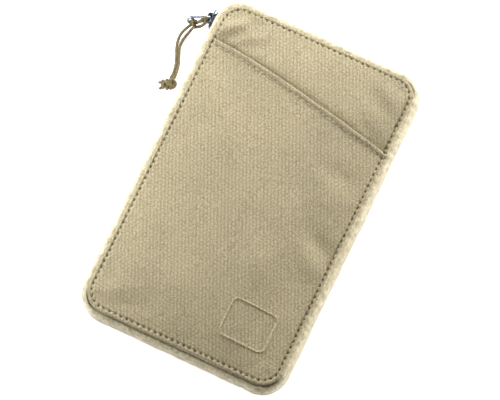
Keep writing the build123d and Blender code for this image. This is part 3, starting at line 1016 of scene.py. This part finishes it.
def wall_strip(name, chosen, parted, lower, seed):
    """Closed band of the wall along the chosen part of the path; lower mirrors it to the back cover."""
    places, normals = WALL_PLACES[chosen], WALL_NORMALS[chosen]
    deep, shallow = wall_profile(parted, 1.0), wall_profile(parted, 0.0)
    s, row = np.meshgrid(lengths_along(places), np.arange(len(deep)), indexing="ij")
    corner = 3.2 * normals[:, 0] * normals[:, 1] * (normals[:, 0] > 0) - 0.7
    tuck = np.maximum(np.clip(-1.5 * normals[:, 1] - 0.3, 0, 1), np.clip(corner, 0, 0.9))[:, None]
    inset = deep[row, 0] * tuck + shallow[row, 0] * (1 - tuck)
    z = deep[row, 1] * tuck + shallow[row, 1] * (1 - tuck)
    free = np.clip((inset.max() - inset) / inset.max(), 0, 1) * np.clip((z - MID_Z) / (2 * MM), 0, 1)
    rolled = np.clip((normals[:, 0] - 0.86) / 0.12, 0, 1)[:, None]
    rolled = rolled * np.clip((ROLL_SHARES[parted][row] - 0.5) * 2, 0, 1)
    rolled = rolled * rolled * (3 - 2 * rolled)
    inset, z = inset + 0.8 * MM * rolled, z + (0.6 if lower else 1.6) * MM * rolled
    gathers = 0.5 * soft_noise(s + seed, z * 1.6, 15 * MM, seed) + 0.22 * soft_noise(s, z, 5 * MM, seed + 4)
    inset = inset + gathers * MM * free
    x = places[:, None, 0] - normals[:, None, 0] * inset
    y = places[:, None, 1] - normals[:, None, 1] * inset
    nick = bell(x - 45.5 * MM, 0.9 * MM) * (y < -HALF_L + 6 * MM)
    x, y = x + normals[:, None, 0] * -0.5 * MM * nick, y + normals[:, None, 1] * -0.5 * MM * nick
    strip = surface(name, x, y, THICK - z if lower else z, TAPE)
    close_ends(strip)
    return clean(strip)


def make_tapes():
    y = WALL_PLACES[:, 1]
    on_spine = ON_LEFT & (y <= ZIP_END_Y + 0.2 * MM) & (y >= SPINE_Y0 - 1e-6)
    last = int(np.flatnonzero(on_spine)[-1])
    covers = np.r_[last:len(y), 0]
    for body, lower in (("front_cover", False), ("back_cover", True)):
        side = body.split("_")[0]
        tape = wall_strip(f"{side}_zip_tape_cloth", covers, True, lower, 5.0 if lower else 1.0)
        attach(tape, body)
        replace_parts(tape, f"{side}_zip_tape")
    for side, body, lower in (("front", "front_cover", False), ("back", "back_cover", True)):
        for part, y0, y1, parted in (("spine_wall", SPINE_Y0, SPINE_Y1, False),
                                     ("zip_end", SPINE_Y1, ZIP_END_Y, True)):
            chosen = np.flatnonzero(on_spine & (y >= y0 - 0.7 * MM) & (y <= y1 + 0.7 * MM))
            strip = wall_strip(f"{part}_{side}_cloth", chosen, parted, lower, 9.0 if lower else 7.0)
            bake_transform(strip)
            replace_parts(strip, "zip_end_tape" if parted else "spine_panel")


make_tapes()


# ---- inside of the covers ----------------------------------------------------------------------------------
# Each piece is drawn as it lies in the back cover, and turned over for the front one.
LINING_IN = HALF_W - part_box("back_lining")[1].x           # how far the lining's edge is inside the walls
LINING_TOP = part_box("back_lining")[1].z
FOAM_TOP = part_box("back_foam")[1].z
SEWN_IN = 1.8 * MM                                        # stitch lines inside a sleeve's edges
INNER_PITCH = 3.2 * MM
FILAMENT_R = 0.26 * MM


def placed(obj, body, front):
    """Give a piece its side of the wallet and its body."""
    if front:
        for vert in obj.data.vertices:
            vert.co.z = THICK - vert.co.z
    clean(obj)
    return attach(obj, body)


def layer(name, inset, low, high, material, ripple, seed):
    """Closed layer with the covers' outline, soft edges and a rippled upper face."""
    insets = inset + np.array([0, 0.25, 0.6, 1.1, 1.8, 3, 5, 8, 12, 17, 23, 30, 38, 46, 54]) * MM
    insets = np.append(insets, HALF_W)
    rings = [ring_points(HALF_W - i, HALF_L - i, max(CORNER_R - i, 0.0), (60, 100), 14) for i in insets]
    rings = np.stack(rings)
    x, y = rings[..., 0], rings[..., 1]
    inner = np.clip((insets - inset) / (1.2 * MM), 0, 1)[:, None]
    drop = 0.5 * (high - low) * (1 - np.sqrt(inner * (2 - inner)))
    upper = high - drop + ripple * inner * soft_noise(x, y, 17 * MM, seed)
    plan = np.concatenate([rings[::-1], rings[1:]])
    z = np.concatenate([(low + drop + 0 * x)[::-1], upper[1:]])
    return surface(name, plan[..., 0], plan[..., 1], z, material)


def ring_stitches(inset, height):
    """Stitches round the walls' outline, this far inside it."""
    ring = ring_points(HALF_W - inset, HALF_L - inset, CORNER_R - inset)
    ring = np.concatenate([ring, ring[:1]])
    length = lengths_along(ring)
    count = round(length[-1] / INNER_PITCH)
    tubes = []
    for n in range(count):
        at = (n + np.array([0.18, 0.82])) * length[-1] / count
        ends = [(np.interp(s, length, ring[:, 0]), np.interp(s, length, ring[:, 1]), height) for s in at]
        tubes.append(stitch(*ends, 0.2 * MM, 0.22 * MM))
    return tubes


def row_of_stitches(start, end, height):
    """Stitches between two places on a sleeve, where height(x, y) is its face."""
    start, end = Vector(start), Vector(end)
    count = max(1, round((end - start).length / INNER_PITCH))
    tubes = []
    for n in range(count):
        ends = []
        for share in ((n + 0.18) / count, (n + 0.82) / count):
            place = start.lerp(end, share)
            ends.append((place.x, place.y, height(place.x, place.y) + 0.1 * MM))
        tubes.append(stitch(*ends, 0.18 * MM, 0.2 * MM))
    return tubes


def make_binding(side, body, front):
    """Grosgrain folded over the raw edges: a flattened roll with a stitched groove."""
    low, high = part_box("back_edge_binding")
    outer, half_w, half_h = HALF_W - high.x, (LINING_IN - (HALF_W - high.x)) / 2, (high.z - low.z) / 2
    middle, mid_z, groove_at = outer + half_w, low.z + half_h, 0.45 * half_w
    turn = np.linspace(0, tau, 30, endpoint=False)
    across = half_w * np.sign(np.cos(turn)) * np.abs(np.cos(turn)) ** 0.55
    up = half_h * np.sign(np.sin(turn)) * np.abs(np.sin(turn)) ** 0.7
    up = up - 0.35 * MM * bell(across - groove_at, 0.5 * MM) * (up > 0)
    insets = middle + across
    rings = np.stack([ring_points(HALF_W - i, HALF_L - i, CORNER_R - i, (130, 210), 26) for i in insets])
    puffs = 0.12 * MM * soft_noise(rings[..., 0], rings[..., 1], 6 * MM, 4.4) * (up[:, None] > 0)
    z = mid_z + up[:, None] + puffs
    roll = surface(f"{side}_binding_roll", rings[..., 0], rings[..., 1], z, BINDING, True, True)
    placed(roll, body, front)
    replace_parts(roll, f"{side}_edge_binding")
    tubes = ring_stitches(middle + groove_at, mid_z + half_h - 0.2 * MM)
    placed(merged(f"{side}_binding_stitches", tubes, THREAD), body, front)


def sleeve_steps(low, high, fine_low, fine_high):
    """Places across a sleeve, close together near both ends."""
    near = np.arange(0, fine_low, 0.45 * MM)
    far = np.arange(0, fine_high, 0.45 * MM)
    middle = np.linspace(low + fine_low, high - fine_high, round((high - low) / (2.6 * MM)))
    return np.concatenate([low + near, middle, high - far[::-1]])


def make_sleeve(node, body, front, seed):
    """Flat pocket sewn round three sides, with its open edge folded double and stitched."""
    low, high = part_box(node)
    base, top = (THICK - high.z, THICK - low.z) if front else (low.z, high.z)
    cloth, hem_w = 0.5 * MM, 6.5 * MM

    def sag(x, y):
        return 0.9 * MM * (1 - (x / high.x) ** 2) * ((y - low.y) / (high.y - low.y)) ** 2

    def face(x, y):
        sewn = np.minimum(np.minimum(x - low.x, high.x - x), y - low.y)
        below = high.y - y
        z = base + cloth + (top - base - cloth) * (1 - np.exp(-np.clip(sewn, 0, None) / (3.5 * MM)))
        z += 0.14 * MM * bell(sewn - 0.8 * MM, 0.6 * MM) - 0.12 * MM * bell(sewn - SEWN_IN, 0.5 * MM)
        z += 0.32 * MM * np.clip((hem_w - below) / (0.5 * MM), 0, 1)
        z -= 0.22 * MM * bell(below - hem_w + 1.3 * MM, 0.5 * MM)
        z += 0.16 * MM * soft_noise(x, y, 19 * MM, seed) * np.clip(sewn / (6 * MM), 0, 1)
        return z

    xs = sleeve_steps(low.x, high.x, 4 * MM, 4 * MM)
    ys = sleeve_steps(low.y, high.y, 4 * MM, 9 * MM)
    y, x = np.meshgrid(ys, xs, indexing="ij")
    z = face(x, y)
    sheet = surface(f"{node}_cloth", x, y - sag(x, y), z, LINING, False)
    thicken(sheet, cloth)
    placed(sheet, body, front)
    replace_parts(sheet, node)

    def height(u, v):
        return float(face(np.array([u]), np.array([v]))[0])

    left, right, foot = low.x + SEWN_IN, high.x - SEWN_IN, low.y + SEWN_IN
    tubes = row_of_stitches((left, high.y - hem_w), (left, foot), height)
    tubes += row_of_stitches((left, foot), (right, foot), height)
    tubes += row_of_stitches((right, foot), (right, high.y - hem_w), height)
    hem_y = high.y - hem_w + 1.3 * MM
    hem_tubes = row_of_stitches((left, hem_y), (right, hem_y), height)
    for body_points, _ in hem_tubes:
        body_points[:, 1] -= sag(body_points[:, 0], body_points[:, 1])
    thread = merged(f"{node}_stitches", tubes + hem_tubes, THREAD)
    placed(thread, body, front)


def make_inside(side, front):
    body = f"{side}_cover"
    foam_low, foam_high = BACK_CLEARANCE + 0.95 * MM, FOAM_TOP - 0.05 * MM
    foam = layer(f"{side}_foam_pad", LINING_IN, foam_low, foam_high, FOAM, 0.05 * MM, 2.0)
    placed(foam, body, front)
    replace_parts(foam, f"{side}_foam")

    cloth = layer(f"{side}_lining_cloth", LINING_IN, FOAM_TOP, LINING_TOP, LINING, 0.16 * MM, 6.0)
    placed(cloth, body, front)
    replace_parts(cloth, f"{side}_lining")
    make_binding(side, body, front)


def make_spine_lining():
    """Lining strip on the inside of the spine, softly puckered."""
    low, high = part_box("spine_lining")
    along, rise = sleeve_steps(low.y, high.y, 4 * MM, 4 * MM), np.linspace(low.z, high.z, 22)
    z, y = np.meshgrid(rise, along, indexing="ij")
    edge = np.minimum(np.minimum(z - low.z, high.z - z), np.minimum(y - low.y, high.y - y))
    x = high.x - 0.2 * MM * bell(edge - SEWN_IN, 0.6 * MM) + 0.15 * MM * soft_noise(y, z, 8 * MM, 1.2)
    strip = surface("spine_lining_cloth", x, y, z, LINING, False)
    thicken(strip, 0.5 * MM)
    placed(strip, "spine", False)
    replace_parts(strip, "spine_lining")


def coil_line(path, inset, height, pitch=1.27 * MM, radius=0.42 * MM, steps=9):
    """Helix of monofilament along the inside of the tape's free edge."""
    places, normals = WALL_PLACES[path], WALL_NORMALS[path]
    length = lengths_along(places)
    s = np.linspace(0, length[-1], round(length[-1] / pitch * steps))
    turn = tau * s / pitch
    place = np.stack([np.interp(s, length, places[:, k]) for k in (0, 1)], -1)
    normal = np.stack([np.interp(s, length, normals[:, k]) for k in (0, 1)], -1)
    xy = place - normal * (inset + radius * np.cos(turn))[:, None]
    return np.concatenate([xy, (height + radius * np.sin(turn))[:, None]], -1)


def make_coils():
    low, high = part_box("back_zip_coil")
    inset, height = HALF_W - high.x + 0.65 * MM, (low.z + high.z) / 2
    y = WALL_PLACES[:, 1]
    covers = np.flatnonzero(~ON_LEFT | (y > ZIP_END_Y + 0.5 * MM))
    end = np.flatnonzero(ON_LEFT & (y >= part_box("zip_end_coil")[0].y) & (y <= ZIP_END_Y))
    for side, front in (("back", False), ("front", True)):
        tubes = [tube(coil_line(covers, inset, height), FILAMENT_R, 6)]
        coil = merged(f"{side}_zip_coil_filament", tubes, COIL)
        placed(coil, f"{side}_cover", front)
        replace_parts(coil, f"{side}_zip_coil")
    tubes = [tube(coil_line(end, inset, z), FILAMENT_R, 6) for z in (height, THICK - height)]
    coil = merged("zip_end_coil_filament", tubes, COIL)
    placed(coil, "spine", False)
    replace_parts(coil, "zip_end_coil")


make_inside("back", False)
make_inside("front", True)
for seed, (node, body, front) in enumerate((
        ("ticket_sleeve", "back_cover", False), ("passport_sleeve", "back_cover", False),
        ("document_sleeve", "front_cover", True), ("card_slot_1", "front_cover", True),
        ("card_slot_2", "front_cover", True), ("card_slot_3", "front_cover", True))):
    make_sleeve(node, body, front, 11.0 + seed)
make_spine_lining()
make_coils()


# ---- every CAD node that stays ---------------------------------------------------------------------------
def repaint(material, *nodes):
    for name in nodes:
        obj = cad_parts[name]
        obj.data.materials.clear()
        obj.data.materials.append(material)


make_slider()
make_puller()
repaint(METAL, "slider_body", "zip_stop")
